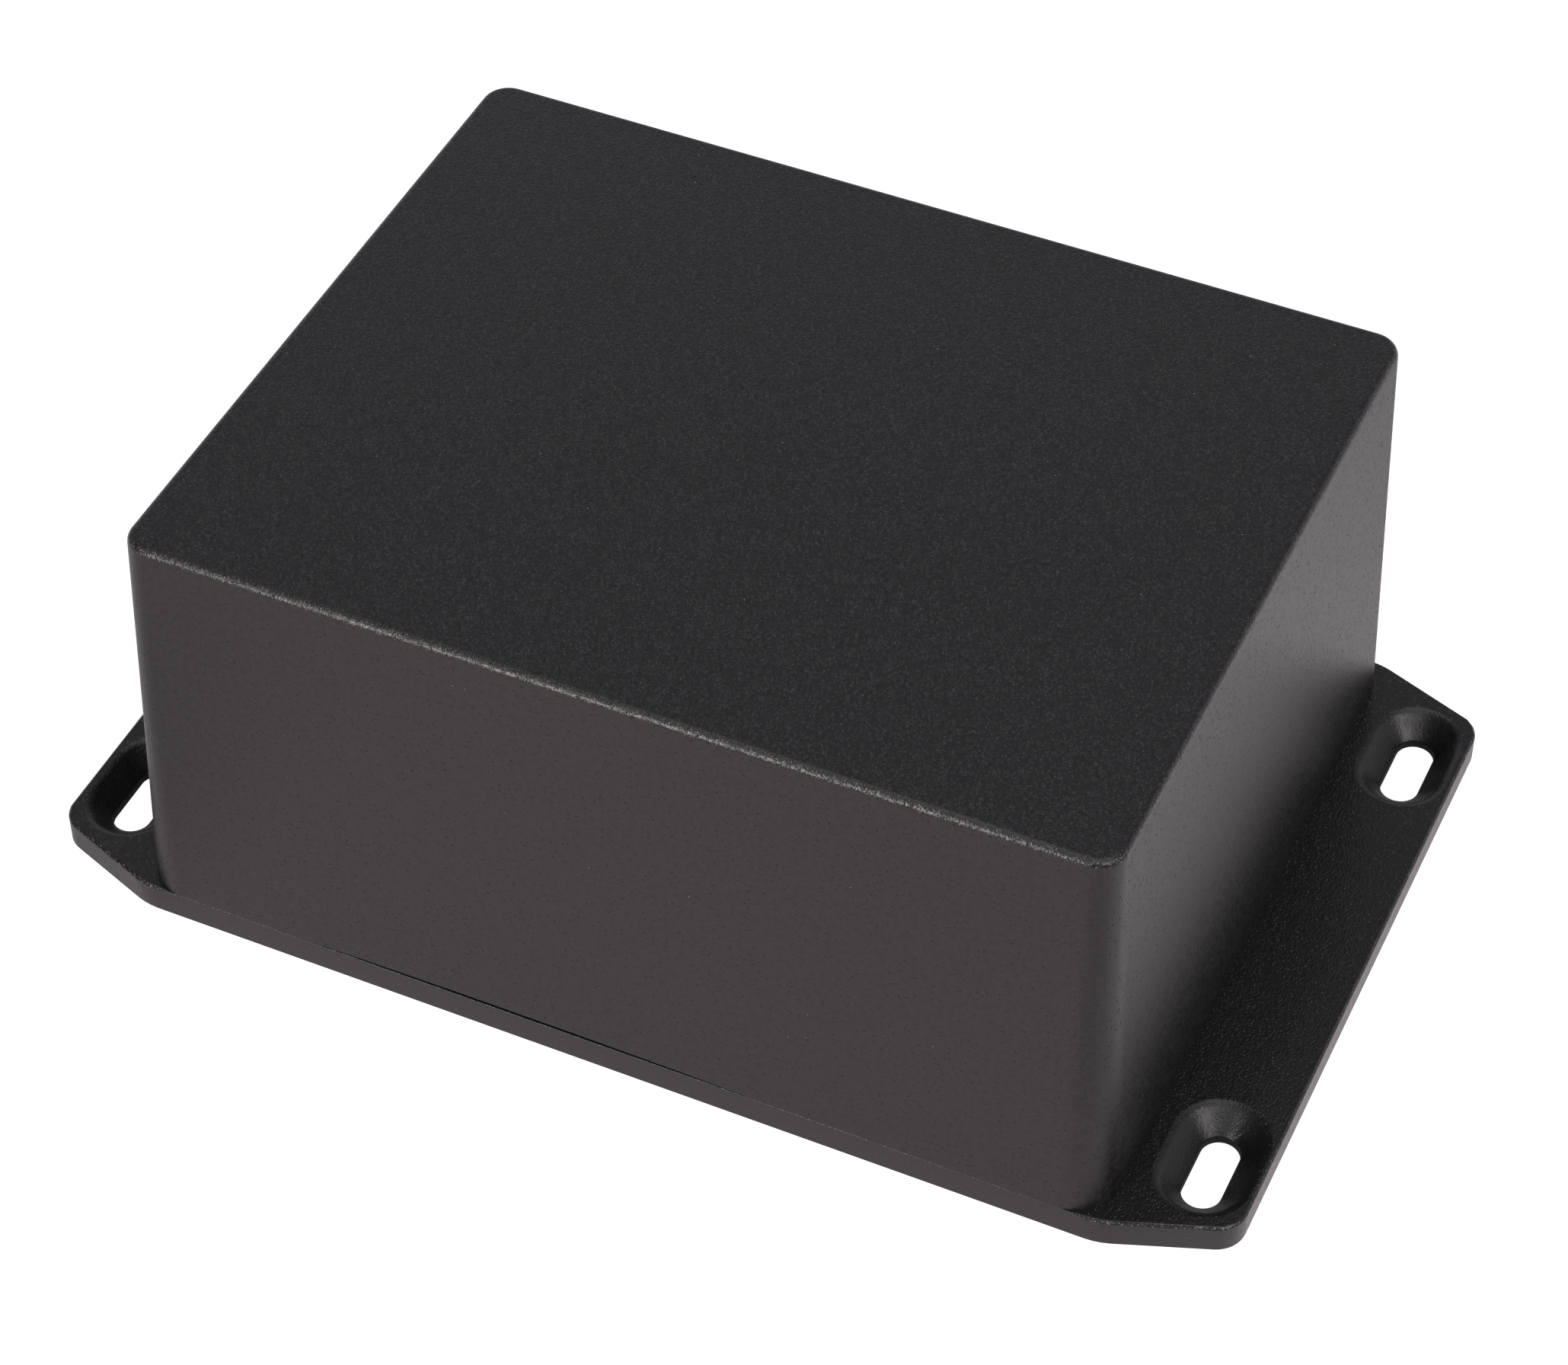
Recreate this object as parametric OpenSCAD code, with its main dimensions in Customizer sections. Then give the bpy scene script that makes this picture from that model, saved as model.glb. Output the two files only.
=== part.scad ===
// Die cast box that stands mouth down on a flanged lid.
// The lid is held by four countersunk screws from below, and its two ears have countersunk slots.
// +Z is up, +Y runs along the length, and the origin is under the middle of the lid.

/* [Box casting] */
// Outside length at the rim
box_length = 120; // [100:1:160]
// Outside width at the rim
box_width = 93.8; // [80:0.2:120]
// Height from the rim to the closed end
box_height = 53.2; // [40:0.1:70]
// Thickness of the side walls
wall = 2.4; // [1.8:0.1:3]
// Thickness of the closed end
end_wall = 2.6; // [1.8:0.1:4]
// Slope of the side walls, in degrees, leaning in towards the closed end
draft = 2.4; // [0.5:0.1:3]
// Radius of the upright corners at the rim
corner_r = 5.5; // [5:0.1:9]
// Radius of the edge round the closed end
end_edge_r = 1; // [0.5:0.1:2.4]
// Radius inside, between the walls and the closed end
inner_edge_r = 1; // [0.5:0.1:1.5]
// Depth of the shallow hollow in each long rim
rim_hollow = 0.4; // [0.1:0.05:0.6]
// Length of that hollow along the rim
rim_hollow_length = 64; // [40:1:70]
// Distance of the hollow's middle from the middle of the box
rim_hollow_shift = 10; // [-10:1:10]

/* [Corner posts] */
// Distance of each screw axis in from the outside faces at the rim
screw_inset = 6.1; // [5.8:0.1:7.5]
// Radius of each post round its screw, at the rim
post_r = 4.4; // [3.6:0.1:5.5]
// Slope by which the posts widen towards the closed end, in degrees
post_draft = 1; // [0.5:0.1:2]
// Tapped hole left beyond the end of the screw
tapped_run_out = 4; // [2:0.5:8]
// Chamfer at the mouth of each tapped hole
tapped_chamfer = 0.4; // [0.2:0.1:0.8]

/* [Flanged lid] */
// Thickness of the plate
lid_t = 3.7; // [3:0.1:5]
// Reach of each ear past the end of the box
ear_reach = 13.8; // [13.4:0.1:18]
// How far each side of an ear slopes in
ear_taper = 5.3; // [3:0.1:9]
// Where the slope starts, back from the end of the box
ear_start = 0.5; // [0:0.1:4]
// Radius of the outer corners of the ears
ear_corner_r = 3.7; // [2:0.1:6]
// Radius of the bend from the plate's side into the ear
ear_bend_r = 9; // [5:1:24]
// Break of the ears' upper edge
lid_edge = 0.3; // [0.2:0.1:0.8]
// Height of the lip that locates the box
lip_height = 1.4; // [0.8:0.1:3]
// Thickness of the lip at its foot
lip_t = 1.6; // [1.2:0.1:2.4]
// Gap between the lip and the walls and posts
lip_gap = 0.3; // [0.1:0.05:0.6]
// Lead-in on each side of the lip
lip_lead = 0.35; // [0.1:0.05:0.5]

/* [Mounting slots] */
// Distance of each slot in from the side of the box
slot_inset = 13.5; // [11:0.1:20]
// Distance of each slot out from the end of the box
slot_offset = 7.6; // [6:0.1:8]
// Width of the slots
slot_w = 4.5; // [3.2:0.1:5.5]
// Length of the slots, end to end
slot_length = 10.4; // [7:0.1:14]
// Width of the countersink at the upper face
sink_w = 10.2; // [8:0.1:11.4]
// Straight land left under the countersink
slot_land = 1; // [0.4:0.1:2]

/* [Lid screws] */
// Diameter of the thread
screw_d = 3.5; // [3:0.1:4]
// Length of the screw with its head
screw_length = 12; // [8:0.5:14]
// Chamfer at the tip of the screw
tip_chamfer = 0.5; // [0.2:0.1:0.8]
// Diameter of the head
head_d = 6.8; // [6:0.1:7.6]
// Angle of the countersunk head, in degrees
head_angle = 90; // [82:1:100]
// Thickness of the head's rim
head_rim = 0.3; // [0.1:0.05:0.6]
// Depth of the head's face below the plate's underside
head_sink = 0.15; // [0:0.05:0.4]
// Gap round the head in its countersink
seat_gap = 0.05; // [0.02:0.01:0.1]
// Gap between the thread and the tapped hole
thread_gap = 0.05; // [0.02:0.01:0.1]
// Gap round the shank in the lid
shank_gap = 0.25; // [0.1:0.05:0.4]
// Span of the cross recess
recess_span = 3.9; // [3:0.1:4.6]
// Width of the recess wings
recess_w = 0.9; // [0.6:0.1:1.2]
// Depth of the cross recess
recess_depth = 1.6; // [1:0.1:2]
// Radius at the bottom of the recess
recess_tip_r = 0.6; // [0.4:0.1:0.9]

/* [Hidden] */
$fn = 64;
coat_colour = "#2b2a2d";
screw_colour = "#b9bcc0";

// How far a cut runs past the face it opens on
over = 1;
// Least radius left where a corner runs out
least_r = 0.2;
// How far the middle of a block runs into its sides, so that they join without a gap
block_lap = least_r / 2;
// Rounding arcs are drawn larger by this, so that they cross the flat faces cleanly
arc_ease = 1.0002;
// Tip angle of the drill that makes the tapped holes
drill_angle = 118;
// Facets of the large circle that hollows the rims
hollow_facets = 720;
// Flats of the edge break in each corner of the ears, and how far each runs past its middle
edge_steps = 3;
edge_lap = 4;
// Corners of the plate to each ear; the first of them ends a long side, which has no edge break
ear_corners = 4;

// Box casting
end_lean = box_height * tan(draft);
end_r = min(end_edge_r, corner_r - end_lean - least_r);
cavity_length = box_length - 2 * wall;
cavity_width = box_width - 2 * wall;
cavity_depth = box_height - end_wall;
cavity_corner_r = max(corner_r - wall, inner_edge_r + cavity_depth * tan(draft) + least_r);
mouth_lean = over * tan(draft);
hollow_r = (pow(rim_hollow_length / 2, 2) + pow(rim_hollow, 2)) / (2 * rim_hollow);

// Screw axes and posts
screw_x = box_width / 2 - screw_inset;
screw_y = box_length / 2 - screw_inset;
post_tail = screw_inset - wall;
post_size = 2 * (post_r + post_tail);
tapped_depth = head_sink + screw_length - lid_t + tapped_run_out;

// Screws
screw_r = screw_d / 2;
shank_r = screw_r - thread_gap;
head_r = head_d / 2;
head_slope = tan(head_angle / 2);
head_seat = head_sink + head_rim;
hole_r = screw_r + shank_gap;
sink_r = head_r + seat_gap;

// Lid outline: corners in turn, each with its radius
side_point = [box_width / 2, box_length / 2 - ear_start];
ear_point = [box_width / 2 - ear_taper, box_length / 2 + ear_reach];
plate_corners = [
  [side_point.x, side_point.y, ear_bend_r],
  [ear_point.x, ear_point.y, ear_corner_r],
  [-ear_point.x, ear_point.y, ear_corner_r],
  [-side_point.x, side_point.y, ear_bend_r],
  [-side_point.x, -side_point.y, ear_bend_r],
  [-ear_point.x, -ear_point.y, ear_corner_r],
  [ear_point.x, -ear_point.y, ear_corner_r],
  [side_point.x, -side_point.y, ear_bend_r]
];
corner_count = len(plate_corners);

// Slots
slot_x = box_width / 2 - slot_inset;
slot_y = box_length / 2 + slot_offset;
slot_run = slot_length - slot_w;

function corner_at(i) = let (c = plate_corners[i % corner_count]) [c.x, c.y];
function corner_radius(i) = plate_corners[i % corner_count].z;
function side_vector(i) = corner_at(i + 1) - corner_at(i);
function side_dir(i) = side_vector(i) / norm(side_vector(i));
function side_before(i) = side_dir(i + corner_count - 1);
function turn(i) = acos(side_before(i) * side_dir(i));
function tangent_run(i) = corner_radius(i) * tan(turn(i) / 2);
function arc_start(i) = corner_at(i) - side_before(i) * tangent_run(i);
function arc_end(i) = corner_at(i) + side_dir(i) * tangent_run(i);
function arc_centre(i) = arc_start(i) + corner_radius(i) * [-side_before(i).y, side_before(i).x];
function heading(v) = atan2(v.y, v.x);

// Copies at the four screw axes
module at_screws() {
  for (x = [-screw_x, screw_x], y = [-screw_y, screw_y])
    translate([x, y, 0])
      children();
}

// What rounding takes off a corner: the arc's centre is at the origin, and it starts on the X axis
module corner_waste(r, sweep) {
  far = 2 * r / cos(sweep / 2);
  difference() {
    polygon([
      [0, 0],
      [2 * r, 0],
      far * [cos(sweep / 2), sin(sweep / 2)],
      2 * r * [cos(sweep), sin(sweep)]
    ]);
    circle(r * arc_ease);
  }
}

// Section of a leaning wall from a corner's axis outwards, with the far edge rounded
module wall_section(reach, height, slope, edge_r) {
  centre_x = reach - (height - edge_r) * tan(slope) - edge_r / cos(slope);
  difference() {
    polygon([[0, 0], [reach, 0], [reach - height * tan(slope), height], [0, height]]);
    translate([centre_x, height - edge_r])
      rotate(slope)
        corner_waste(edge_r, 90 - slope);
  }
}

// Section of a post's side, leaning out towards its far end
module post_section(reach, height, slope) {
  polygon([[0, 0], [reach, 0], [reach + height * tan(slope), height], [0, height]]);
}

// Block with the given section on its four sides and turned round its upright corners
module cast_block(length, width, height, r) {
  mid_x = width / 2 - r;
  mid_y = length / 2 - r;
  core_x = mid_x + block_lap;
  core_y = mid_y + block_lap;
  translate([-core_x, -core_y, 0])
    cube([2 * core_x, 2 * core_y, height]);
  for (side = [0, 180]) {
    rotate([0, 0, side])
      translate([mid_x, 0, 0])
        rotate([90, 0, 0])
          linear_extrude(2 * mid_y, center = true)
            children();
    rotate([0, 0, side + 90])
      translate([mid_y, 0, 0])
        rotate([90, 0, 0])
          linear_extrude(2 * mid_x, center = true)
            children();
  }
  for (x = [0, 1], y = [0, 1])
    mirror([x, 0, 0])
      mirror([0, y, 0])
        translate([mid_x, mid_y, 0])
          rotate_extrude(angle = 90)
            children();
}

// Inside of the box, run out past the mouth
module cavity() {
  length = cavity_length + 2 * mouth_lean;
  width = cavity_width + 2 * mouth_lean;
  depth = cavity_depth + over;
  r = cavity_corner_r + mouth_lean;
  translate([0, 0, -over])
    cast_block(length, width, depth, r)
      wall_section(r, depth, draft, inner_edge_r);
}

// Posts that fill the inside corners over the whole depth
module posts() {
  depth = cavity_depth + 4 * over;
  for (x = [-1, 1], y = [-1, 1])
    translate([x * (screw_x + post_tail), y * (screw_y + post_tail), -2 * over])
      cast_block(post_size, post_size, depth, post_r)
        post_section(post_r, depth, post_draft);
}

// Blind hole with a chamfered mouth and a drill tip
module tapped_hole() {
  mouth_r = screw_r + tapped_chamfer + over;
  tip = tapped_depth + screw_r / tan(drill_angle / 2);
  rotate_extrude()
    polygon([
      [0, -over],
      [mouth_r, -over],
      [screw_r, tapped_chamfer],
      [screw_r, tapped_depth],
      [0, tip]
    ]);
}

// Shallow arc across both long rims
module rim_hollows() {
  translate([0, rim_hollow_shift, rim_hollow - hollow_r])
    rotate([0, 90, 0])
      cylinder(h = box_width + 2 * over, r = hollow_r, center = true, $fn = hollow_facets);
}

// Box before it is hollowed: drilled for the screws, with its long rims eased
module solid_box() {
  difference() {
    cast_block(box_length, box_width, box_height, corner_r)
      wall_section(corner_r, box_height, draft, end_r);
    at_screws()
      tapped_hole();
    rim_hollows();
  }
}

module box_casting() {
  color(coat_colour)
    translate([0, 0, lid_t])
      difference() {
        solid_box();
        difference() {
          cavity();
          posts();
        }
      }
}

// Outline of the plate with its two ears
module plate_outline() {
  difference() {
    polygon([for (i = [0 : corner_count - 1]) corner_at(i)]);
    for (i = [0 : corner_count - 1])
      translate(arc_centre(i))
        rotate(heading(arc_start(i) - arc_centre(i)))
          corner_waste(corner_radius(i), turn(i));
  }
}

// Flats that break the upper edge of the ears, in turn along each side and round each corner
module upper_edge() {
  for (i = [0 : corner_count - 1], step = [i % ear_corners == 0 ? 1 : 0 : edge_steps - 1]) {
    start = heading(arc_start(i) - arc_centre(i));
    run = step == 0 ? norm(arc_start(i) - arc_end(i + corner_count - 1)) : 0;
    translate([arc_centre(i).x, arc_centre(i).y, lid_t])
      rotate([0, 0, start + turn(i) * step / edge_steps])
        translate([corner_radius(i), -run - edge_lap, 0])
          rotate([-90, 0, 0])
            linear_extrude(run + 2 * edge_lap)
              polygon([[over, -over], [over, lid_edge + over], [-lid_edge - over, -over]]);
  }
}

// One straight length of the locating lip, along X with its outer foot on the X axis
module lip_bar(length) {
  rotate([90, 0, 90])
    linear_extrude(length, center = true)
      polygon([
        [0, 0],
        [0, lip_height - lip_lead],
        [lip_lead, lip_height],
        [lip_t - lip_lead, lip_height],
        [lip_t, 0]
      ]);
}

// Lip bars inside the four walls, stopping short of the posts
module locating_lip() {
  for (side = [0, 180])
    rotate([0, 0, side]) {
      translate([0, -cavity_length / 2 + lip_gap, 0])
        lip_bar(2 * (screw_x - post_r - lip_gap));
      rotate([0, 0, 90])
        translate([0, -cavity_width / 2 + lip_gap, 0])
          lip_bar(2 * (screw_y - post_r - lip_gap));
    }
}

// Section across a slot, from below the plate to above it
module slot_section() {
  half_w = slot_w / 2;
  half_sink = sink_w / 2;
  polygon([
    [-half_w, -over],
    [half_w, -over],
    [half_w, slot_land],
    [half_sink, lid_t],
    [half_sink, lid_t + over],
    [-half_sink, lid_t + over],
    [-half_sink, lid_t],
    [-half_w, slot_land]
  ]);
}

// Countersunk slot along X
module slot_cut() {
  rotate([90, 0, 90])
    linear_extrude(slot_run, center = true)
      slot_section();
  for (side = [0, 180])
    rotate([0, 0, side])
      translate([slot_run / 2, 0, 0])
        rotate([0, 0, -90])
          rotate_extrude(angle = 180)
            intersection() {
              slot_section();
              translate([0, -over])
                square([sink_w, lid_t + 2 * over]);
            }
}

// Clearance hole, countersunk from below
module screw_hole() {
  rotate_extrude()
    polygon([
      [0, -over],
      [sink_r, -over],
      [sink_r, head_seat],
      [hole_r, head_seat + (sink_r - hole_r) / head_slope],
      [hole_r, lid_t + over],
      [0, lid_t + over]
    ]);
}

module flanged_lid() {
  color(coat_colour) {
    difference() {
      linear_extrude(lid_t)
        plate_outline();
      upper_edge();
      for (x = [-slot_x, slot_x], y = [-slot_y, slot_y])
        translate([x, y, 0])
          slot_cut();
      at_screws()
        screw_hole();
    }
    translate([0, 0, lid_t])
      locating_lip();
  }
}

// Cross recess in the head's face, narrowing with depth
module cross_recess() {
  slope = (recess_span / 2 - recess_tip_r) / recess_depth;
  intersection() {
    for (wing = [0, 90])
      rotate([0, 0, wing])
        translate([-recess_span, -recess_w / 2, -over])
          cube([2 * recess_span, recess_w, recess_depth + over]);
    translate([0, 0, -over])
      cylinder(h = recess_depth + over, r1 = recess_span / 2 + slope * over, r2 = recess_tip_r);
  }
}

// Countersunk screw with its head down
module lid_screw() {
  tip = head_sink + screw_length;
  difference() {
    rotate_extrude()
      polygon([
        [0, head_sink],
        [head_r, head_sink],
        [head_r, head_seat],
        [shank_r, head_seat + (head_r - shank_r) / head_slope],
        [shank_r, tip - tip_chamfer],
        [shank_r - tip_chamfer, tip],
        [0, tip]
      ]);
    translate([0, 0, head_sink])
      cross_recess();
  }
}

module lid_screws() {
  color(screw_colour)
    at_screws()
      lid_screw();
}

box_casting();
flanged_lid();
lid_screws();
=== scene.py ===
"""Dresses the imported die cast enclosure: a black powder-coated box on a flanged lid.

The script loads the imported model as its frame, finishes every surface, and sets the box on a pale
studio floor under soft light, seen from the photograph's viewing angle. All sizes are in metres
unless a comment or docstring names another unit.
"""

from __future__ import annotations

import logging
import math
from collections.abc import Callable
from dataclasses import dataclass
from enum import Enum

import bpy
from mathutils import Matrix, Vector

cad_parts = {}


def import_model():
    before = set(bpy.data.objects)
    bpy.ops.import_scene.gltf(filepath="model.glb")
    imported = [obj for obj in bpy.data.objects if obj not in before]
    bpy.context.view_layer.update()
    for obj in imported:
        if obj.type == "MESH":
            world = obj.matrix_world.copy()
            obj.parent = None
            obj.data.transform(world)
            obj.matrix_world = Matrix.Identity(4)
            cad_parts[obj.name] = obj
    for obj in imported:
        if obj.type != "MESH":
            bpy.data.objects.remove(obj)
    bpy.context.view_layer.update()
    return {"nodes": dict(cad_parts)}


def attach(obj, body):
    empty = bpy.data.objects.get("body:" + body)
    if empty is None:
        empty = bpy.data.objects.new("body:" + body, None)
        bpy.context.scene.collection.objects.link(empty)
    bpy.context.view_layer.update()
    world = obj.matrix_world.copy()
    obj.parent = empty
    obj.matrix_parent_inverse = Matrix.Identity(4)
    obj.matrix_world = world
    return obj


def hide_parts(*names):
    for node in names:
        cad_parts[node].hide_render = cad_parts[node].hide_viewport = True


MM = 0.001
log = logging.getLogger("enclosure")

Colour = tuple[float, float, float, float]
Pair = tuple[float, float]
Out = bpy.types.NodeSocket


class Socket(Enum):
    """Kinds of socket that the shader groups use."""

    VALUE = "NodeSocketFloat"
    VECTOR = "NodeSocketVector"


class Nodes:
    """A node tree with short calls to add and join its nodes."""

    def __init__(self, tree: bpy.types.NodeTree) -> None:
        """Wraps the tree."""
        self.tree = tree

    def add(self, kind: str, inputs: dict | None = None, **settings: object) -> bpy.types.Node:
        """Adds a node.

        Args:
            kind: Blender's name of the node's type.
            inputs: Values or output sockets, by input name or number.
            settings: Properties of the node.

        Returns:
            The new node.
        """
        node = self.tree.nodes.new(kind)
        for name, value in settings.items():
            setattr(node, name, value)
        for key, value in (inputs or {}).items():
            if isinstance(value, bpy.types.NodeSocket):
                self.join(value, node.inputs[key])
            else:
                node.inputs[key].default_value = value
        return node

    def join(self, output: Out, goal: bpy.types.NodeSocket) -> None:
        """Links an output to an input."""
        self.tree.links.new(output, goal)

    def math(self, operation: str, *values: object, clamp: bool = False) -> Out:
        """Adds a Math node and returns its output."""
        inputs = dict(enumerate(values))
        return self.add("ShaderNodeMath", inputs, operation=operation, use_clamp=clamp).outputs[0]

    def ramp(self, value: Out, low: float, high: float) -> Out:
        """Maps value from low..high to 0..1, smoothly and clamped, and returns the output."""
        inputs = {"Value": value, "From Min": low, "From Max": high}
        node = self.add("ShaderNodeMapRange", inputs, interpolation_type="SMOOTHSTEP")
        return node.outputs["Result"]

    def between(self, share: Out, low: float, high: float) -> Out:
        """Goes from low to high as share goes from 0 to 1, and returns the output."""
        return self.math("MULTIPLY_ADD", share, high - low, low)

    def times(self, *values: Out) -> Out:
        """Multiplies the values, first to last, and returns the output."""
        result = values[0]
        for value in values[1:]:
            result = self.math("MULTIPLY", result, value)
        return result

    def mix(self, share: Out, low: object, high: object) -> Out:
        """Mixes two colours by share and returns the output."""
        return self.add("ShaderNodeMix", {0: share, 6: low, 7: high}, data_type="RGBA").outputs[2]

    def axes(self, vector: Out) -> bpy.types.NodeOutputs:
        """Parts a vector into its X, Y and Z outputs."""
        return self.add("ShaderNodeSeparateXYZ", {0: vector}).outputs


def new_material(name: str) -> tuple[bpy.types.Material, Nodes, bpy.types.Node]:
    """Starts a material and returns it with its tree and its shader."""
    material = bpy.data.materials.new(name)
    material.use_nodes = True
    return material, Nodes(material.node_tree), material.node_tree.nodes["Principled BSDF"]


def new_group(
    name: str, takes: dict[str, Socket], gives: dict[str, Socket]
) -> tuple[Nodes, dict[str, Out], bpy.types.Node]:
    """Starts a shader node group.

    Args:
        name: The group's name.
        takes: Input sockets by name.
        gives: Output sockets by name.

    Returns:
        The tree, its inputs by name, and the node that takes its outputs.
    """
    tree = bpy.data.node_groups.new(name, "ShaderNodeTree")
    for side, sockets in (("INPUT", takes), ("OUTPUT", gives)):
        for socket_name, kind in sockets.items():
            tree.interface.new_socket(socket_name, in_out=side, socket_type=kind.value)
    nodes = Nodes(tree)
    start = nodes.add("NodeGroupInput")
    end = nodes.add("NodeGroupOutput")
    return nodes, {key: start.outputs[key] for key in takes}, end


def dots(nodes: Nodes, vector: Out, spacing: object, radius: float) -> Out:
    """Scatters round dots through space.

    Args:
        nodes: The tree to add to.
        vector: Where the surface is, in metres.
        spacing: Mean distance between dots, in millimetres, as a number or a socket.
        radius: Radius of a dot in millimetres.

    Returns:
        A socket that is 1 in the middle of a dot, falls smoothly, and is 0 outside it.
    """
    scale = nodes.math("DIVIDE", 1.0 / MM, spacing)
    cells = nodes.add("ShaderNodeTexVoronoi", {"Vector": vector, "Scale": scale})
    reach = nodes.math("MULTIPLY", cells.outputs["Distance"], spacing)
    share = nodes.math("DIVIDE", reach, radius)
    rest = nodes.math("SUBTRACT", 1.0, nodes.times(share, share), clamp=True)
    return nodes.times(rest, rest)


@dataclass(frozen=True)
class CoatGrain:
    """The grain that both coats share: close bumps, clusters, raised nibs, pits and dust; in millimetres."""

    name: str = "coat_grain"
    cluster_rate: float = 0.42  # clusters to a length, for each bump of the grain
    noise_share: float = 0.5  # share of the fine noise and of the clusters in the height
    bump_reach: float = 0.72  # where a bump ends, as a share of the grain's spacing
    bump_least: float = 0.25  # height of the lowest bumps as a share of the tallest
    # the pale tops that this power leaves are painted glints
    top_power: float = 12.0  # a high power leaves few bumps with a pale top
    nib_radius: float = 0.15
    pit_spacing: float = 0.70
    pit_radius: float = 0.16
    speck_spacing: float = 3.4
    speck_radius: float = 0.08
    speck_from: Pair = (0.1, 0.5)

    def bumps(self, nodes: Nodes, vector: Out, spacing: Out) -> tuple[Out, Out]:
        """Packs round bumps of uneven height closely through space.

        Args:
            nodes: The tree to add to.
            vector: Where the surface is, in metres.
            spacing: Mean distance between bumps, in millimetres.

        Returns:
            The height, up to 1 on top of a bump and 0 in the hollows, and a mask of the few tallest tops,
            which take painted glints.
        """
        scale = nodes.math("DIVIDE", 1.0 / MM, spacing)
        cells = nodes.add("ShaderNodeTexVoronoi", {"Vector": vector, "Scale": scale})
        share = nodes.math("DIVIDE", cells.outputs["Distance"], self.bump_reach)
        dome = nodes.math("SUBTRACT", 1.0, nodes.times(share, share), clamp=True)
        chance = nodes.add("ShaderNodeSeparateColor", {0: cells.outputs["Color"]}).outputs["Red"]
        tall = nodes.between(nodes.times(chance, chance), self.bump_least, 1.0)
        top = nodes.times(dome, nodes.math("POWER", chance, self.top_power))
        return nodes.times(dome, tall), top

    def group(self) -> bpy.types.NodeTree:
        """Builds the group.

        Returns:
            A group that gives the height in millimetres, masks for the pale tops, the nibs, the pits and
            the dust, and the uneven value of the clusters; the tops and nibs take painted glints and the pits
            painted shade.
        """
        takes = {name: Socket.VALUE for name in ("Grain", "Relief", "Nib Spacing", "Nib Height", "Pit Depth")}
        gives = ("Height", "Top", "Nib", "Pit", "Speck", "Cluster")
        nodes, given, end = new_group(
            self.name, {"Vector": Socket.VECTOR, **takes}, {name: Socket.VALUE for name in gives}
        )
        vector = given["Vector"]
        rate = nodes.math("DIVIDE", 1.0 / MM, given["Grain"])
        fine = nodes.add("ShaderNodeTexNoise", {"Vector": vector, "Scale": rate, "Detail": 1.0})
        wide = nodes.math("MULTIPLY", rate, self.cluster_rate)
        clusters = nodes.add("ShaderNodeTexNoise", {"Vector": vector, "Scale": wide, "Detail": 1.0})
        height, top = self.bumps(nodes, vector, given["Grain"])
        for noise in (fine, clusters):
            height = nodes.math("MULTIPLY_ADD", noise.outputs["Fac"], self.noise_share, height)
        height = nodes.times(height, given["Relief"])
        nib = dots(nodes, vector, given["Nib Spacing"], self.nib_radius)
        height = nodes.math("MULTIPLY_ADD", nib, given["Nib Height"], height)
        pit = dots(nodes, vector, self.pit_spacing, self.pit_radius)
        height = nodes.math("SUBTRACT", height, nodes.times(pit, given["Pit Depth"]))
        speck = nodes.ramp(dots(nodes, vector, self.speck_spacing, self.speck_radius), *self.speck_from)
        for name, output in zip(gives, (height, top, nib, pit, speck, clusters.outputs["Fac"])):
            nodes.join(output, end.inputs[name])
        return nodes.tree


@dataclass(frozen=True)
class CalmSpots:
    """Long round-ended spots, mirrored to all four corners, where the coat lies smoother but duller."""

    centre: Pair
    half_run: float
    radius: float
    fade: float
    share: float
    dull: float
    # share of the painted nib glints that stays in the spots
    nib_glint_share: float = 0.4

    def outside(self, nodes: Nodes, vector: Out) -> Out:
        """Masks the spots.

        Args:
            nodes: The tree to add to.
            vector: Where the surface is.

        Returns:
            A socket that is 1 in the open and 0 in the spots.
        """
        steps = (
            ("ABSOLUTE", None),
            ("SUBTRACT", (*self.centre, 0.0)),
            ("ABSOLUTE", None),
            ("SUBTRACT", (self.half_run, 0.0, 0.0)),
            ("MAXIMUM", (0.0, 0.0, 0.0)),
            ("MULTIPLY", (1.0, 1.0, 0.0)),
        )
        place = vector
        for operation, other in steps:
            inputs = {0: place} if other is None else {0: place, 1: other}
            place = nodes.add("ShaderNodeVectorMath", inputs, operation=operation).outputs[0]
        reach = nodes.add("ShaderNodeVectorMath", {0: place}, operation="LENGTH").outputs["Value"]
        return nodes.ramp(reach, self.radius - self.fade, self.radius)


@dataclass(frozen=True)
class Site:
    """The sockets that tell a coat where it lies."""

    place: Out
    normal: bpy.types.NodeOutputs
    level: Out  # 0 on upright faces and 1 on level ones
    outside: Out | None  # 0 in the calm spots and 1 elsewhere, if the coat has such spots


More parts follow.
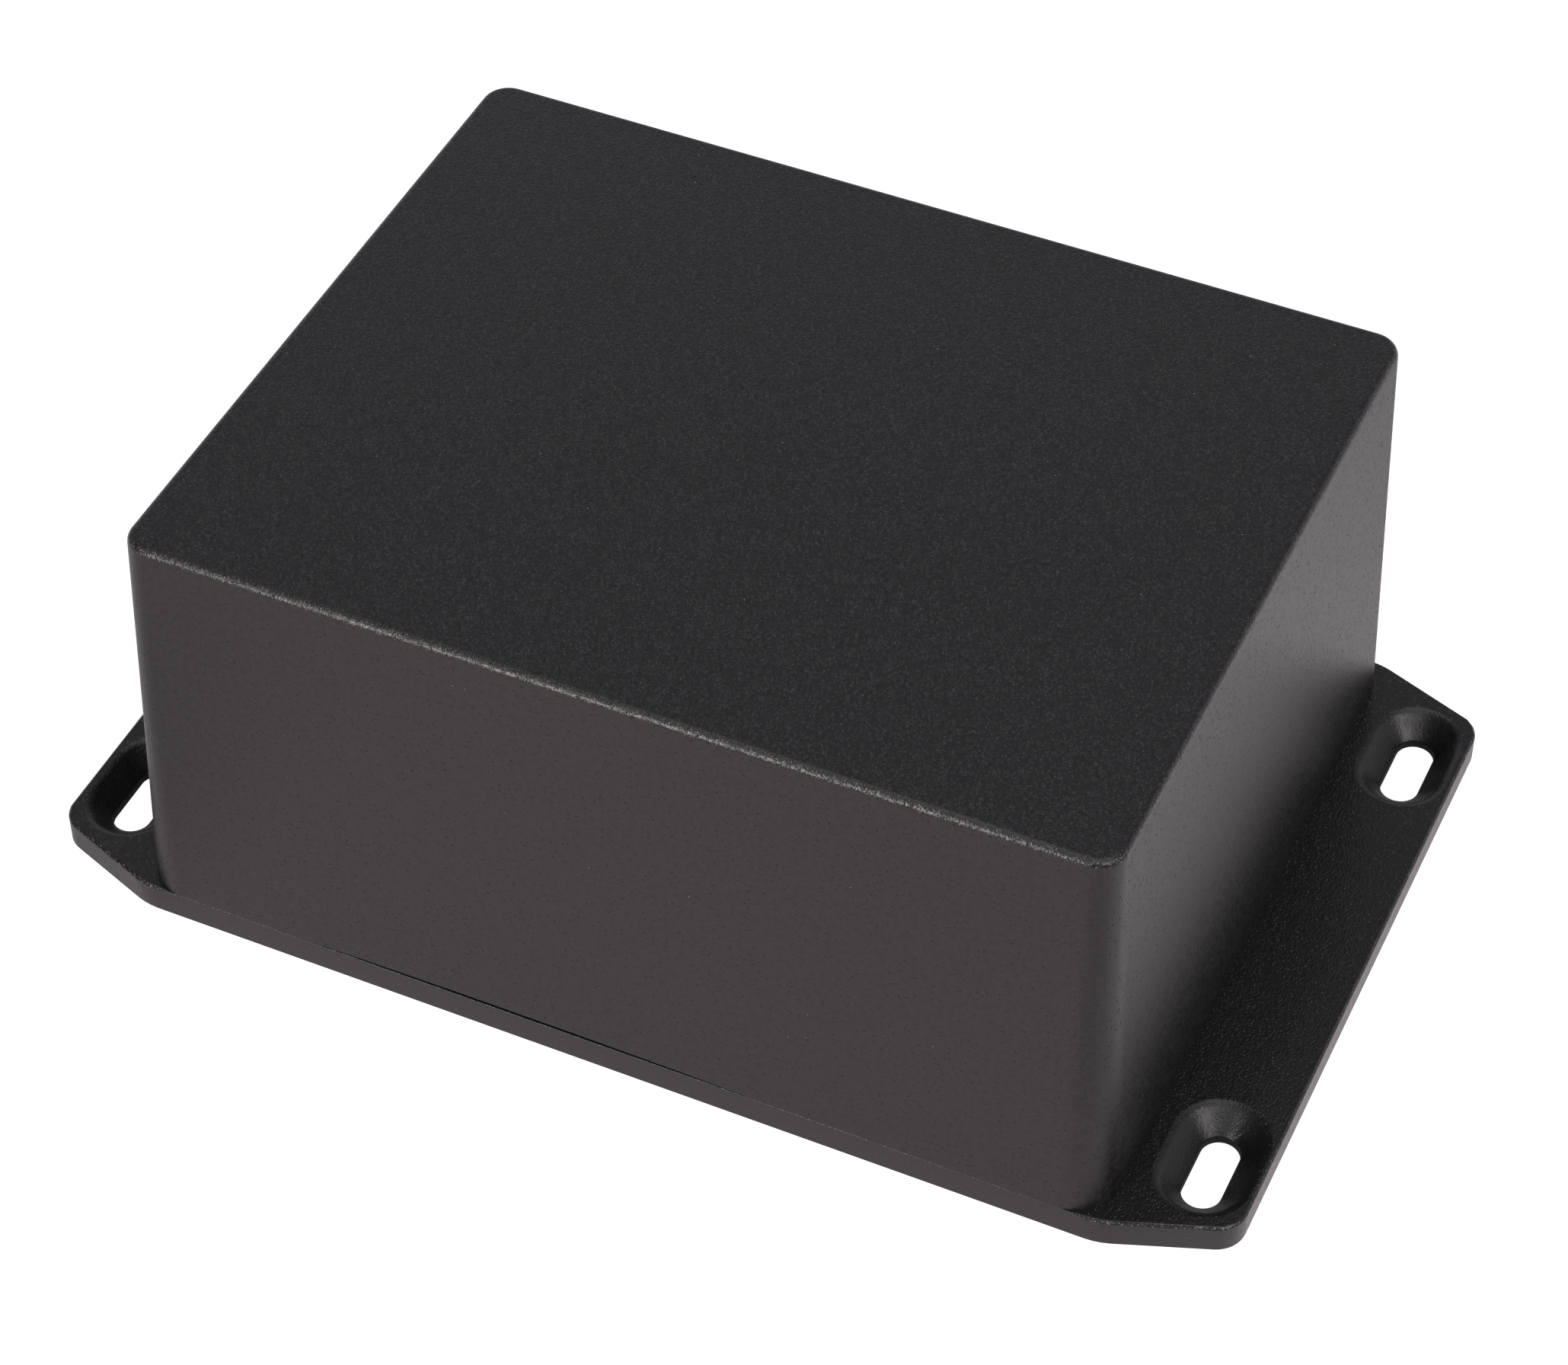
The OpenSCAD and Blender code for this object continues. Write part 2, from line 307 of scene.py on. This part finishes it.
@dataclass(frozen=True)
class PowderCoat:
    """Textured black powder coat on cast aluminium, with painted glints and painted pit shade in its colour.

    Grain, relief, spacings, heights and depths are in millimetres. A pair named by_level holds a value
    for upright faces and one for level faces, which the coat grades between by the surface's direction.
    """

    name: str
    grain: float
    relief_by_level: Pair
    nib_spacing: float
    # painted highlight: pale glints along the rounded top edges
    edge_glint_colour: Colour
    nib_height: float = 0.05
    pit_depth: float = 0.15
    calm: CalmSpots | None = None
    grain_from: Pair = (0.06, 0.40)
    colour: Colour = (0.0078, 0.0074, 0.0079, 1.0)
    thin_colour: Colour = (0.0018, 0.0018, 0.0020, 1.0)
    # painted highlight: pale glints on the few tallest bump tops
    top_glint_colour: Colour = (0.020, 0.0195, 0.0205, 1.0)
    # painted highlight: pale glints on the raised nibs
    nib_glint_colour: Colour = (0.050, 0.049, 0.051, 1.0)
    # painted shade: a darker colour in the pits
    pit_shade_colour: Colour = (0.0020, 0.0020, 0.0020, 1.0)
    dust_colour: Colour = (0.35, 0.34, 0.34, 1.0)
    roughness_by_level: Pair = (0.40, 0.20)
    nib_rise_by_level: Pair = (0.2, 1.0)
    # shares of the painted glints on nibs and bump tops, on upright and on level faces
    nib_glint_by_level: Pair = (0.3, 1.0)
    top_glint_by_level: Pair = (0.4, 0.7)
    pit_sink_by_level: Pair = (1.0, 0.4)
    # share of the painted pit shade on upright and on level faces
    pit_shade_by_level: Pair = (1.0, 0.6)
    mottle_by_level: Pair = (1.0, 0.3)
    cluster_from: Pair = (0.35, 0.65)
    cluster_dull: float = 0.05
    pit_dull: float = 0.4
    # a high power narrows the nibs' painted glints
    nib_power: float = 2.0
    edge_starts: Pair = (0.10, 0.35)
    edge_ends: Pair = (0.84, 0.99)
    edge_weights: Pair = (0.9, 0.4)  # the long sides' and the short sides' share of the glints
    edge_from: Pair = (0.10, 0.50)
    glint_spacing: float = 0.36
    glint_radius: float = 0.15
    specular: float = 0.43

    def site(self, nodes: Nodes) -> Site:
        """Finds where the surface is, which way it faces, and whether it is in a calm spot."""
        place = nodes.add("ShaderNodeTexCoord").outputs["Object"]
        normal = nodes.axes(nodes.add("ShaderNodeNewGeometry").outputs["Normal"])
        level = nodes.ramp(nodes.math("ABSOLUTE", normal["Z"]), *self.grain_from)
        outside = self.calm.outside(nodes, place) if self.calm else None
        return Site(place, normal, level, outside)

    def surface(self, nodes: Nodes, site: Site, grain: bpy.types.NodeTree) -> bpy.types.NodeOutputs:
        """Adds the grain, which is lower on upright faces and in calm spots.

        Args:
            nodes: The material's tree.
            site: Where the coat lies.
            grain: The shared coat grain group.

        Returns:
            The grain's outputs.
        """
        relief = nodes.between(site.level, *self.relief_by_level)
        rise = nodes.between(site.level, *(self.nib_height * share for share in self.nib_rise_by_level))
        sink = nodes.between(site.level, *(self.pit_depth * share for share in self.pit_sink_by_level))
        if self.calm:
            share = nodes.between(site.outside, self.calm.share, 1.0)
            relief, rise = (nodes.times(value, share) for value in (relief, rise))
        inputs = {
            "Vector": site.place,
            "Grain": self.grain,
            "Relief": relief,
            "Nib Spacing": self.nib_spacing,
            "Nib Height": rise,
            "Pit Depth": sink,
        }
        return nodes.add("ShaderNodeGroup", inputs, node_tree=grain).outputs

    def edge_glints(self, nodes: Nodes, site: Site) -> Out:
        """Scatters painted glints where a rounded edge turns from the top to a side, most on the long sides.

        Args:
            nodes: The material's tree.
            site: Where the coat lies.

        Returns:
            A socket that is 1 in a glint and 0 elsewhere.
        """
        x, y, upward = (nodes.math("ABSOLUTE", site.normal[name]) for name in "XYZ")
        starts, ends = (nodes.ramp(upward, *span) for span in (self.edge_starts, self.edge_ends))
        edge = nodes.math("SUBTRACT", starts, ends)
        long_side, short_side = self.edge_weights
        lean = nodes.math("MULTIPLY_ADD", y, short_side, nodes.math("MULTIPLY", x, long_side))
        side = nodes.ramp(lean, *self.edge_from)
        scatter = dots(nodes, site.place, self.glint_spacing, self.glint_radius)
        glints = nodes.times(scatter, nodes.times(edge, side))
        return nodes.times(glints, site.outside) if self.calm else glints

    def shade(
        self, nodes: Nodes, site: Site, surface: bpy.types.NodeOutputs, cluster: Out, pits: Out | None
    ) -> Out:
        """Lays the coat's colours over each other, with painted glints and painted shade in the pits.

        Args:
            nodes: The material's tree.
            site: Where the coat lies.
            surface: The grain's outputs.
            cluster: How thick the coat lies in its clusters, from 0 to 1.
            pits: A mask of the pits for their painted shade, if the coat has any.

        Returns:
            The colour.
        """
        mottle = nodes.between(site.level, *self.mottle_by_level)
        thick = nodes.math("MULTIPLY_ADD", nodes.math("SUBTRACT", cluster, 0.5), mottle, 0.5)
        # painted glints on the tallest bump tops and on the nibs
        tops = nodes.times(surface["Top"], nodes.between(site.level, *self.top_glint_by_level))
        nibs = nodes.math("POWER", surface["Nib"], self.nib_power)
        nibs = nodes.times(nibs, nodes.between(site.level, *self.nib_glint_by_level))
        if self.calm:
            nibs = nodes.times(nibs, nodes.between(site.outside, self.calm.nib_glint_share, 1.0))
        glints = self.edge_glints(nodes, site)
        layers = [(tops, self.top_glint_colour), (nibs, self.nib_glint_colour), (glints, self.edge_glint_colour)]
        # painted shade in the pits
        if pits is not None:
            layers.append((pits, self.pit_shade_colour))
        layers.append((surface["Speck"], self.dust_colour))
        colour = nodes.mix(thick, self.thin_colour, self.colour)
        for mask, layer in layers:
            colour = nodes.mix(mask, colour, layer)
        return colour

    def dullness(self, nodes: Nodes, site: Site, cluster: Out, pits: Out | None) -> Out:
        """Works out the roughness, which is higher in the clusters, the pits and the calm spots.

        Args:
            nodes: The material's tree.
            site: Where the coat lies.
            cluster: How thick the coat lies in its clusters, from 0 to 1.
            pits: A mask of the pits, if the coat has any.

        Returns:
            The roughness.
        """
        dull = nodes.between(site.level, *self.roughness_by_level)
        dull = nodes.math("MULTIPLY_ADD", cluster, self.cluster_dull, dull)
        if pits is not None:
            dull = nodes.math("MULTIPLY_ADD", pits, self.pit_dull, dull)
        if self.calm:
            inside = nodes.math("SUBTRACT", 1.0, site.outside)
            dull = nodes.math("MULTIPLY_ADD", inside, self.calm.dull, dull)
        return dull

    def material(self, grain: bpy.types.NodeTree) -> bpy.types.Material:
        """Builds the material.

        Args:
            grain: The shared coat grain group.

        Returns:
            The new material.
        """
        material, nodes, shader = new_material(self.name)
        shader.inputs["Specular IOR Level"].default_value = self.specular
        site = self.site(nodes)
        surface = self.surface(nodes, site, grain)
        cluster = nodes.ramp(surface["Cluster"], *self.cluster_from)
        pits = None
        # the pits' painted shade, stronger on upright faces
        if self.pit_depth:
            pits = nodes.times(surface["Pit"], nodes.between(site.level, *self.pit_shade_by_level))
        bump = nodes.add("ShaderNodeBump", {"Height": surface["Height"], "Distance": MM})
        nodes.join(self.shade(nodes, site, surface, cluster, pits), shader.inputs["Base Color"])
        nodes.join(self.dullness(nodes, site, cluster, pits), shader.inputs["Roughness"])
        nodes.join(bump.outputs["Normal"], shader.inputs["Normal"])
        return material


@dataclass(frozen=True)
class ZincPlate:
    """Bright zinc plating on small steel screws."""

    name: str
    colour: Colour = (0.60, 0.61, 0.62, 1.0)
    stain: Colour = (0.48, 0.49, 0.48, 1.0)
    grain: float = 0.8 * MM
    roughness: Pair = (0.28, 0.48)

    def material(self) -> bpy.types.Material:
        """Builds the material."""
        material, nodes, shader = new_material(self.name)
        shader.inputs["Metallic"].default_value = 1.0
        place = nodes.add("ShaderNodeTexCoord").outputs["Object"]
        cloud = nodes.add("ShaderNodeTexNoise", {"Vector": place, "Scale": 1.0 / self.grain}).outputs["Fac"]
        nodes.join(nodes.mix(cloud, self.colour, self.stain), shader.inputs["Base Color"])
        nodes.join(nodes.between(cloud, *self.roughness), shader.inputs["Roughness"])
        return material


@dataclass
class PhotoCamera:
    """The photograph's viewpoint, as angles in degrees round a point inside the box."""

    azimuth: float = -65.3613
    elevation: float = 45.2790
    roll: float = -0.1398
    distance: float = 496.911 * MM
    aim: tuple[float, float, float] = (0.0, 0.0, 25.0 * MM)
    aim_right: float = 0.7534 * MM
    aim_up: float = -4.5520 * MM
    image_width: int = 2059
    focal_pixels: float = 5650.6
    sensor: float = 36.0
    nearest: float = 0.01

    def build(self) -> bpy.types.Object:
        """Adds the camera and makes it the scene's own."""
        turn, rise, tilt = (math.radians(v) for v in (self.azimuth, self.elevation, self.roll))
        back = Vector((math.sin(turn) * math.cos(rise), -math.cos(turn) * math.cos(rise), math.sin(rise)))
        level = Vector((0, 0, 1)).cross(back).normalized()
        upright = back.cross(level)
        right = math.cos(tilt) * level + math.sin(tilt) * upright
        up = back.cross(right)
        place = Vector(self.aim) + self.aim_right * right + self.aim_up * up + self.distance * back
        bpy.ops.object.camera_add()
        camera = bpy.context.object
        camera.name = "photo_camera"
        camera.matrix_world = Matrix.Translation(place) @ Matrix((right, up, back)).transposed().to_4x4()
        camera.data.sensor_width = self.sensor
        camera.data.lens = self.focal_pixels / self.image_width * self.sensor
        camera.data.clip_start = self.nearest
        bpy.context.scene.camera = camera
        return camera


@dataclass(frozen=True)
class FloorShade:
    """A soft round shade on the floor, as reflections find it."""

    place: Pair
    reach: Pair
    share: float

    def level(self, nodes: Nodes, vector: Out) -> Out:
        """Measures the shade.

        Args:
            nodes: The floor material's tree.
            vector: Where the floor is.

        Returns:
            A socket that is the shade's share in its middle and 1 outside it.
        """
        inputs = {0: vector, 1: (*self.place, 0.0)}
        away = nodes.add("ShaderNodeVectorMath", inputs, operation="DISTANCE").outputs["Value"]
        return nodes.between(nodes.ramp(away, *self.reach), self.share, 1.0)


@dataclass(frozen=True)
class Lamp:
    """A soft rectangular lamp; its power is in watts."""

    name: str
    place: tuple[float, float, float]
    size: Pair
    power: float
    colour: tuple[float, float, float]

    def build(self, aim: Vector) -> None:
        """Adds the lamp, facing the aim."""
        place = Vector(self.place)
        bpy.ops.object.light_add(type="AREA", location=place)
        lamp = bpy.context.object
        lamp.name = self.name
        lamp.rotation_euler = (aim - place).to_track_quat("-Z", "Y").to_euler()
        lamp.data.shape = "RECTANGLE"
        lamp.data.size, lamp.data.size_y = self.size
        lamp.data.energy = self.power
        lamp.data.color = self.colour


@dataclass
class Studio:
    """Pale floor, plain surroundings and soft lamps."""

    floor_size: float = 6.0
    floor_drop: float = 0.05 * MM
    floor_colour: Colour = (0.36, 0.35, 0.352, 1.0)
    plate_half: Pair = (46.9 * MM, 73.8 * MM)
    ear_slope: Pair = (0.9377, 0.3475)  # which way the ears' slanted sides face
    ear_reach: float = 64.66 * MM  # from the middle of the lid to those sides
    plate_fade: Pair = (0.96, 1.0)  # where the lid's own shade ends, as a share of its outline
    front_glow: Colour = (0.700, 0.572, 0.580, 1.0)
    end_glow: Colour = (0.815, 0.755, 0.780, 1.0)
    end_from: Pair = (-50 * MM, -43 * MM)  # X over which the ends' glow takes over from the front's
    seen_glow: Colour = (0.92, 0.92, 0.92, 1.0)
    far_from: Pair = (30 * MM, 130 * MM)  # X over which the floor behind the box gets dimmer
    far_share: float = 0.67
    shades: tuple[FloorShade, ...] = (
        FloorShade((-76 * MM, -80 * MM), (8 * MM, 36 * MM), 0.63),
        FloorShade((-62 * MM, 99 * MM), (24 * MM, 50 * MM), 0.50),
    )
    sky_colour: Colour = (0.93, 0.94, 1.0, 1.0)
    sky_strength: float = 0.372
    aim: tuple[float, float, float] = (0.0, 0.0, 30 * MM)
    lamps: tuple[Lamp, ...] = (
        Lamp("overhead_softbox", (0.0, -0.02, 1.1), (0.95, 0.95), 3.4, (0.97, 0.98, 1.0)),
        Lamp("low_front_softbox", (-1.10, 0.36, 0.36), (0.38, 0.52), 6.4, (1.0, 0.94, 0.93)),
        Lamp("high_front_softbox", (-0.74, 0.43, 0.78), (0.50, 0.62), 1.9, (1.0, 0.95, 0.93)),
        Lamp("near_softbox", (-0.70, -0.34, 0.86), (0.40, 0.40), 1.3, (1.0, 0.94, 0.90)),
        Lamp("right_front_softbox", (-0.34, -0.92, 0.77), (0.75, 0.60), 6.0, (1.0, 0.95, 0.95)),
        Lamp("back_card", (0.95, 0.55, 0.50), (1.3, 0.50), 0.6, (0.94, 0.96, 1.0)),
        Lamp("side_card", (0.75, -0.85, 0.30), (1.2, 0.60), 0.9, (1.0, 0.99, 0.98)),
    )

    def build_floor(self) -> bpy.types.Object:
        """Adds the floor, which keeps the object's shadow."""
        bpy.ops.mesh.primitive_plane_add(size=self.floor_size, location=(0, 0, -self.floor_drop))
        floor = bpy.context.object
        floor.name = "floor"
        material, nodes, shader = new_material("studio_floor")
        shader.inputs["Base Color"].default_value = self.floor_colour
        shader.inputs["Roughness"].default_value = 1.0
        shader.inputs["Specular IOR Level"].default_value = 0.0
        place = nodes.add("ShaderNodeTexCoord").outputs["Object"]
        path = nodes.add("ShaderNodeLightPath").outputs
        seen = nodes.math("MAXIMUM", path["Is Camera Ray"], path["Is Transmission Ray"])
        lit = nodes.times(path["Is Glossy Ray"], self.open_floor(nodes, place))
        glow = nodes.mix(nodes.ramp(nodes.axes(place)["X"], *self.end_from), self.front_glow, self.end_glow)
        nodes.join(nodes.mix(seen, glow, self.seen_glow), shader.inputs["Emission Color"])
        nodes.join(nodes.math("MAXIMUM", seen, lit), shader.inputs["Emission Strength"])
        floor.data.materials.append(material)
        return floor

    def open_floor(self, nodes: Nodes, place: Out) -> Out:
        """Masks the floor as reflections find it: dark under the lid, and dimmer behind and in the shades.

        Args:
            nodes: The floor material's tree.
            place: Where the floor is.

        Returns:
            A socket that is 0 under the lid, 1 in the open in front and less elsewhere.
        """
        axes = nodes.axes(place)
        x, y = (nodes.math("ABSOLUTE", axes[name]) for name in "XY")
        slope_x, slope_y = self.ear_slope
        lean = nodes.math("MULTIPLY_ADD", x, slope_x, nodes.math("MULTIPLY", y, slope_y))
        sides = nodes.math("DIVIDE", lean, self.ear_reach)
        for value, half in zip((x, y), self.plate_half):
            sides = nodes.math("MAXIMUM", sides, nodes.math("DIVIDE", value, half))
        far = nodes.between(nodes.ramp(axes["X"], *self.far_from), 1.0, self.far_share)
        shades = (shade.level(nodes, place) for shade in self.shades)
        return nodes.times(nodes.ramp(sides, *self.plate_fade), far, *shades)

    def build_sky(self) -> None:
        """Sets the world: a soft grey room that the camera sees as white."""
        world = bpy.data.worlds.new("studio_room")
        world.use_nodes = True
        bpy.context.scene.world = world
        nodes = Nodes(world.node_tree)
        background = nodes.tree.nodes["Background"]
        background.inputs["Color"].default_value = self.sky_colour
        path = nodes.add("ShaderNodeLightPath").outputs
        strength = nodes.between(path["Is Camera Ray"], self.sky_strength, 1.0)
        nodes.join(strength, background.inputs["Strength"])

    def build(self) -> None:
        """Adds the floor, the room and the lamps."""
        self.build_floor()
        self.build_sky()
        for lamp in self.lamps:
            lamp.build(Vector(self.aim))
        log.info("studio: floor, room and %d lamps", len(self.lamps))


@dataclass
class Piece:
    """A piece of the enclosure that shows its CAD node as it is."""

    node: bpy.types.Object

    def build(self) -> bpy.types.Object:
        """Gives the object that is dressed."""
        return self.node

    def dress(self, material: bpy.types.Material) -> bpy.types.Object:
        """Builds the piece and gives it its finish.

        Args:
            material: The finish.

        Returns:
            The finished object.
        """
        piece = self.build()
        piece.data.materials.clear()
        piece.data.materials.append(material)
        log.info("%s: %d faces, %s", piece.name, len(piece.data.polygons), material.name)
        return piece


@dataclass
class LidScrews(Piece):
    """The four screws under the lid, whose CAD shape is right as it is."""


@dataclass
class Casting(Piece):
    """A casting drawn again from its CAD shape, with soft edges and true flat faces."""

    name: str
    slot: str
    edge_soft: float = 0.08 * MM
    segments: int = 3
    profile: float = 0.5
    sharp: float = math.radians(25)
    smooth_to: float = math.radians(35)
    flat_within: float = math.radians(0.3)
    join_within: float = 0.001 * MM

    def soften(self, piece: bpy.types.Object, width: float, choose: Callable[[Vector], bool]) -> None:
        """Rounds the sharp edges whose middle is in the chosen place.

        Args:
            piece: The mesh to work on.
            width: Width of the rounding.
            choose: Says whether a place is in the chosen part.
        """
        bpy.ops.object.mode_set(mode="EDIT")
        bpy.ops.mesh.select_mode(type="EDGE")
        bpy.ops.mesh.select_all(action="DESELECT")
        bpy.ops.mesh.edges_select_sharp(sharpness=self.sharp)
        bpy.ops.object.mode_set(mode="OBJECT")
        places = piece.data.vertices
        for part in (*places, *piece.data.polygons):
            part.select = False
        for edge in piece.data.edges:
            first, second = (places[v].co for v in edge.vertices)
            edge.select = edge.select and choose((first + second) / 2)
        bpy.ops.object.mode_set(mode="EDIT")
        bpy.ops.mesh.bevel(offset=width, segments=self.segments, profile=self.profile, clamp_overlap=False)
        bpy.ops.object.mode_set(mode="OBJECT")

    def copy_node(self) -> bpy.types.Object:
        """Copies the CAD node and joins its triangles into whole faces.

        Returns:
            The copy, selected and active.
        """
        bpy.ops.object.select_all(action="DESELECT")
        bpy.context.view_layer.objects.active = self.node
        self.node.select_set(True)
        bpy.ops.object.duplicate()
        piece = bpy.context.object
        piece.name = self.name
        bpy.ops.object.mode_set(mode="EDIT")
        bpy.ops.mesh.select_all(action="SELECT")
        bpy.ops.mesh.customdata_custom_splitnormals_clear()
        bpy.ops.mesh.remove_doubles(threshold=self.join_within)
        self.part_faces()
        bpy.ops.mesh.select_all(action="SELECT")
        bpy.ops.mesh.dissolve_limited(angle_limit=self.flat_within, delimit={"SEAM"})
        bpy.ops.object.mode_set(mode="OBJECT")
        return piece

    def part_faces(self) -> None:
        """Cuts large faces before they are joined; a plain casting needs no cuts."""

    def shape(self, piece: bpy.types.Object) -> None:
        """Rounds the piece's edges; a casting with more to soften does this its own way."""
        self.soften(piece, self.edge_soft, lambda place: True)

    def build(self) -> bpy.types.Object:
        """Draws the piece and puts it in its node's place.

        Returns:
            The new piece.
        """
        piece = self.copy_node()
        self.shape(piece)
        bpy.ops.object.shade_smooth_by_angle(angle=self.smooth_to)
        bpy.ops.object.modifier_add(type="WEIGHTED_NORMAL")
        piece.modifiers[-1].keep_sharp = True
        bpy.ops.object.modifier_apply(modifier=piece.modifiers[-1].name)
        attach(piece, "root")
        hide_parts(self.node.name)
        return piece


@dataclass
class FlangedLid(Casting):
    """The lid, whose countersinks have wider soft rims."""

    slot_x: float = 33.4 * MM
    slot_y: float = 67.6 * MM
    slot_run: float = 5.9 * MM
    sink_r: float = 5.1 * MM
    top_z: float = 3.7 * MM
    land_z: float = 1.0 * MM
    foot_z: float = 0.1 * MM
    ear_y: float = 60.8 * MM
    inside_half: Pair = (46.0 * MM, 59.5 * MM)
    rim_soft: float = 0.60 * MM
    land_soft: float = 0.20 * MM
    calm_margin: float = 0.35 * MM
    calm_fade: float = 0.60 * MM

    def part_faces(self) -> None:
        """Cuts the plate beside the box and through the slots, so that no face of the ears has a hole."""
        cuts = [((side * self.slot_x, 0.0, 0.0), (1.0, 0.0, 0.0)) for side in (-1, 1)]
        cuts += [((0.0, side * self.ear_y, 0.0), (0.0, 1.0, 0.0)) for side in (-1, 1)]
        for point, normal in cuts:
            bpy.ops.mesh.select_all(action="SELECT")
            bpy.ops.mesh.bisect(plane_co=point, plane_no=normal)
            bpy.ops.mesh.mark_seam()

    def in_sink(self, place: Vector) -> bool:
        """Says whether a place is within a slot's countersink or on its rim."""
        along = max(abs(abs(place.x) - self.slot_x) - self.slot_run / 2, 0.0)
        return math.hypot(along, abs(place.y) - self.slot_y) < self.sink_r + self.rim_soft

    def shut_in(self, place: Vector) -> bool:
        """Says whether a place is on the upper side within the box, where nothing is seen."""
        within = abs(place.x) < self.inside_half[0] and abs(place.y) < self.inside_half[1]
        return within and place.z > self.land_z

    def shape(self, piece: bpy.types.Object) -> None:
        """Rounds the countersinks' rims and lands, then the other edges."""
        middle = (self.top_z + self.land_z) / 2
        self.soften(piece, self.rim_soft, lambda place: self.in_sink(place) and place.z > middle)
        self.soften(
            piece, self.land_soft, lambda place: self.in_sink(place) and self.foot_z < place.z < middle
        )
        self.soften(piece, self.edge_soft, lambda place: not self.shut_in(place))

    def calm_spots(self, share: float, dull: float) -> CalmSpots:
        """Gives the countersinks as spots where the coat lies smoother but duller.

        Args:
            share: How much of the grain is left there.
            dull: How much roughness is added there.

        Returns:
            The spots.
        """
        radius = self.sink_r + self.calm_margin
        return CalmSpots((self.slot_x, self.slot_y), self.slot_run / 2, radius, self.calm_fade, share, dull)


def main() -> None:
    """Loads the frame, dresses it, and sets the studio round it."""
    logging.basicConfig(level=logging.INFO, format="%(name)s: %(message)s")
    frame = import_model()
    bpy.ops.object.select_all(action="DESELECT")
    grain = CoatGrain().group()
    box = Casting(frame["nodes"]["box_casting"], "soft_box", "box_coat", edge_soft=0.05 * MM)
    box_coat = PowderCoat(
        "box_coat",
        grain=0.26,
        relief_by_level=(0.016, 0.040),
        nib_spacing=0.85,
        # pale painted glints on the rounded top edges
        edge_glint_colour=(0.130, 0.112, 0.106, 1.0),
    )
    box.dress(box_coat.material(grain))
    lid = FlangedLid(frame["nodes"]["flanged_lid"], "soft_lid", "lid_coat")
    lid_coat = PowderCoat(
        "lid_coat",
        grain=0.30,
        relief_by_level=(0.016, 0.032),
        nib_spacing=0.7,
        # pale painted glints on the rounded top edges
        edge_glint_colour=(0.16, 0.15, 0.15, 1.0),
        nib_height=0.03,
        pit_depth=0.0,
        calm=lid.calm_spots(share=0.8, dull=0.12),
        grain_from=(0.10, 0.60),
        colour=(0.0060, 0.0058, 0.0060, 1.0),
        thin_colour=(0.0048, 0.0047, 0.0049, 1.0),
        # painted glints on the bump tops and the nibs
        top_glint_colour=(0.016, 0.0155, 0.016, 1.0),
        nib_glint_colour=(0.070, 0.068, 0.070, 1.0),
        roughness_by_level=(0.34, 0.20),
    )
    lid.dress(lid_coat.material(grain))
    LidScrews(frame["nodes"]["lid_screws"]).dress(ZincPlate("screw_zinc").material())
    PhotoCamera().build()
    Studio().build()
    bpy.context.scene.view_settings.view_transform = "Standard"


if __name__ == "__main__":
    main()
